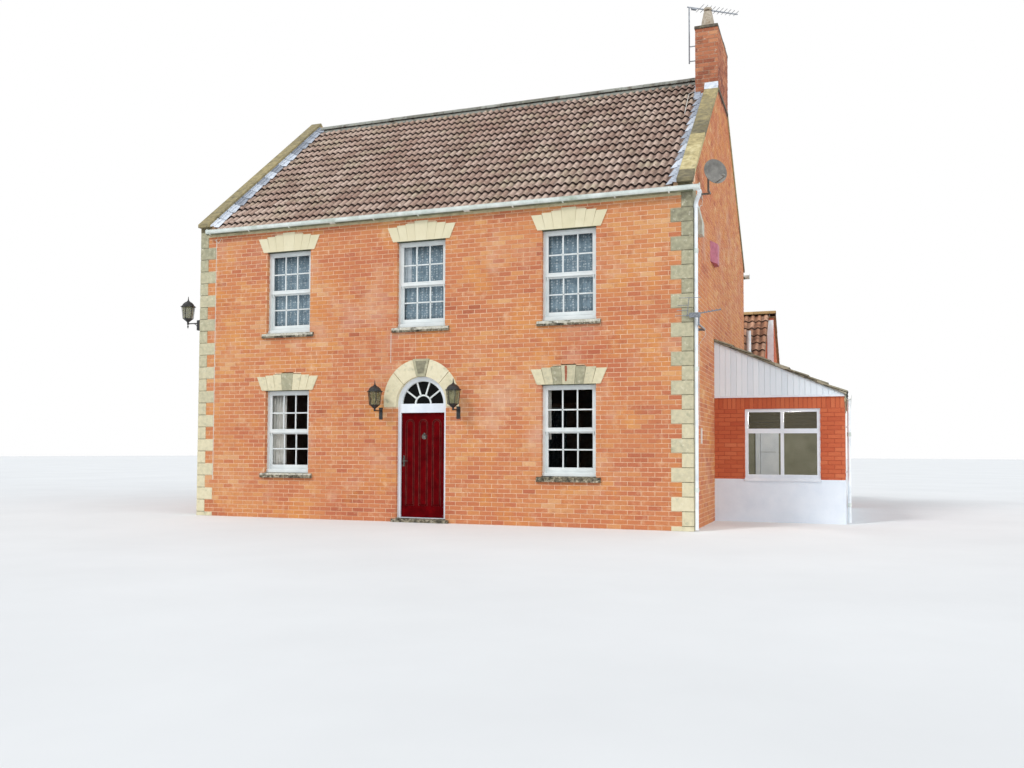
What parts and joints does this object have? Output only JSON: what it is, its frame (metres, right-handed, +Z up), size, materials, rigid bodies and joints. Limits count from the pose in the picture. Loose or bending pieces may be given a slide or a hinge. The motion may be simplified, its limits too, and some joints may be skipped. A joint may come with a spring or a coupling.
{
  "type": "detached house",
  "caption": "Two-storey detached brick house with stone quoins, arched doorway, sash windows, tiled roof between coped gables, end chimney and lean-to side extension.",
  "frame": {"origin": "on the ground under the middle of the main block", "axes": "+X to the right along the front, -Y is the side with the front door, +Z up"},
  "size_m": [12.3733, 11.3153, 10.0802],
  "materials": {
    "concrete": "plain concrete",
    "floor_boards": "plain boards",
    "brick": "orange-red facing brick with pale mortar",
    "dressed_stone": "weathered cream stone",
    "sill_stone": "weathered grey-brown stone",
    "white_frame": "white window and door frames",
    "window_glass": "clear glass",
    "door_paint": "dark oxblood paint",
    "door_metal": "aged brass",
    "roof_tile": "weathered brown concrete tiles",
    "lead": "pale grey lead",
    "clay_tile": "red clay",
    "fascia_paint": "cream painted timber",
    "white_plastic": "white plastic",
    "lantern_metal": "black painted iron",
    "lantern_glass": "amber-green glass",
    "dish_metal": "grey painted metal",
    "box_plastic": "pink-red plastic",
    "red_brick": "darker red facing brick",
    "white_render": "white painted render"
  },
  "bodies": {
    "house": {"ground_floor": "concrete", "upper_floor": "floor_boards", "front_wall_left": "brick", "front_wall_right": "brick", "front_wall_over_door": "brick", "rear_wall": "brick", "left_gable_wall": "brick", "right_gable_wall": "brick", "quoins": "dressed_stone", "window_lintels": "dressed_stone", "window_sills": "sill_stone", "upper_window_frames": "white_frame", "lower_window_frames": "white_frame", "upper_window_glass": "window_glass", "lower_window_glass": "window_glass", "door_arch": "dressed_stone", "door_frame": "white_frame", "fanlight_glass": "window_glass", "frame_hinges": "door_metal", "door_step": "sill_stone", "main_roof": "roof_tile", "ridge_tiles": "roof_tile", "gable_copings": "dressed_stone", "roof_flashings": "lead", "chimney_stack": "brick", "chimney_band": "sill_stone", "chimney_cap": "sill_stone", "chimney_pot": "clay_tile", "fascia_boards": "fascia_paint", "gutters": "white_plastic", "downpipes": "white_plastic", "wall_lanterns": "lantern_metal", "lantern_glass": "lantern_glass", "satellite_dish": "dish_metal", "wall_boxes": "box_plastic", "tv_aerials": "dish_metal", "wall_cables": "white_plastic", "extension_walls": "red_brick", "extension_plinth": "white_render", "extension_cladding": "white_plastic", "extension_window": "white_frame", "extension_glass": "window_glass", "extension_roof": "roof_tile", "wing_walls": "red_brick", "wing_roof": "clay_tile", "wing_bargeboards": "white_plastic"},
    "front_door": {"front_door": "door_paint", "door_hinges": "door_metal", "door_knocker": "door_metal", "door_handle": "door_metal"}
  },
  "joints": [
    {"name": "front_door_hinge", "type": "hinge", "parent": "house", "child": "front_door", "pos_m": [0.435, -3.7367, 1], "axis": [0, 0, 1], "range_deg": [-95, 0]}
  ]
}
